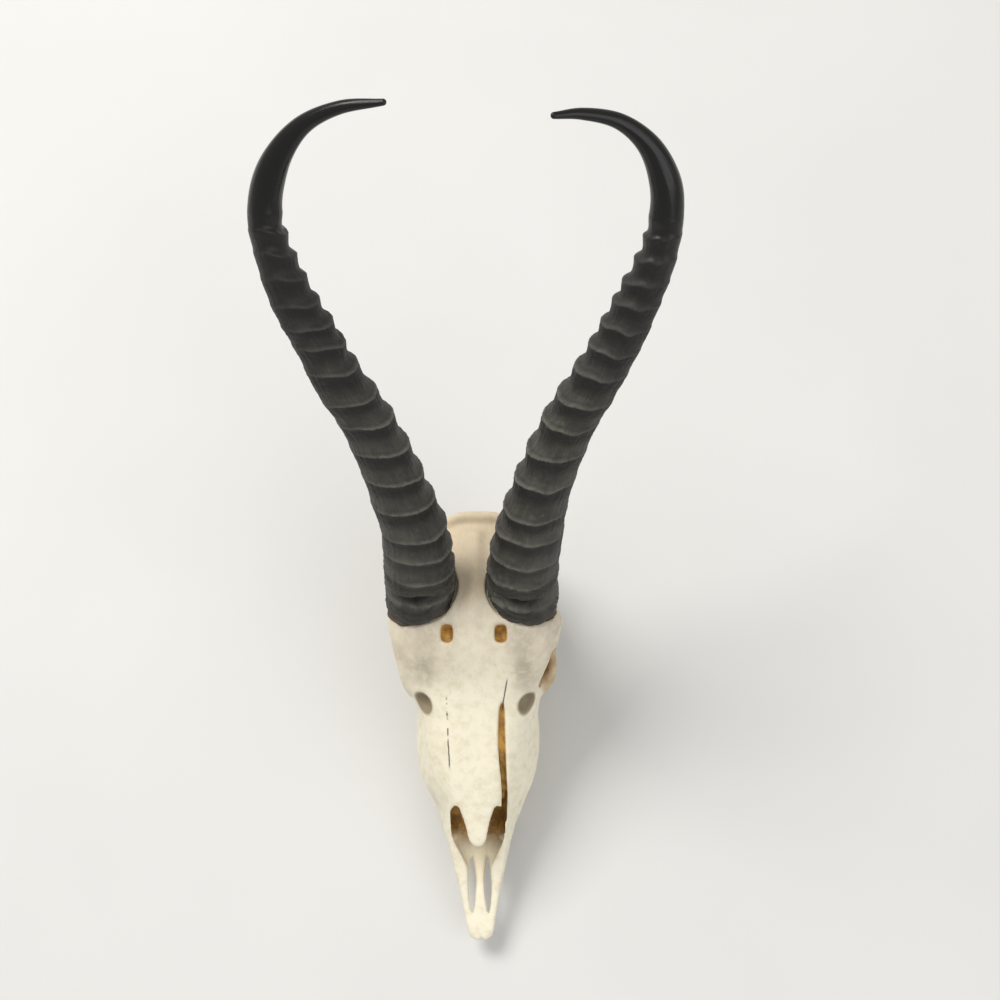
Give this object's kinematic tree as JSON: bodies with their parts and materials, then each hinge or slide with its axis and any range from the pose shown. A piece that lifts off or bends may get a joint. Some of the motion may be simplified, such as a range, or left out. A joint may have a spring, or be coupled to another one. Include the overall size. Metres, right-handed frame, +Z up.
{
  "type": "springbok skull",
  "caption": "Springbok ram's skull with ridged lyre-shaped horns and upper cheek teeth, without the lower jaw, a display piece that rests on its teeth and skull base.",
  "frame": {"origin": "on the surface it rests on, below the middle of the bounding box", "axes": "+Z up, nose towards -Y, back of the skull towards +Y, the animal's left towards +X"},
  "size_m": [0.1788, 0.2926, 0.3402],
  "materials": {
    "bone": "dry cleaned bone, cream on the nose, greyer and mottled on the brow, ochre in hollows",
    "horn": "dark horn, dusty grey-brown and matt at the base, smooth and near black at the tips",
    "tooth": "ivory enamel with brown staining"
  },
  "bodies": {
    "root": {"cranium": "bone", "horn_right": "horn", "horn_left": "horn", "premolar_2_left": "tooth", "premolar_3_left": "tooth", "premolar_4_left": "tooth", "molar_1_left": "tooth", "molar_2_left": "tooth", "molar_3_left": "tooth", "premolar_2_right": "tooth", "premolar_3_right": "tooth", "premolar_4_right": "tooth", "molar_1_right": "tooth", "molar_2_right": "tooth", "molar_3_right": "tooth"}
  },
  "joints": []
}
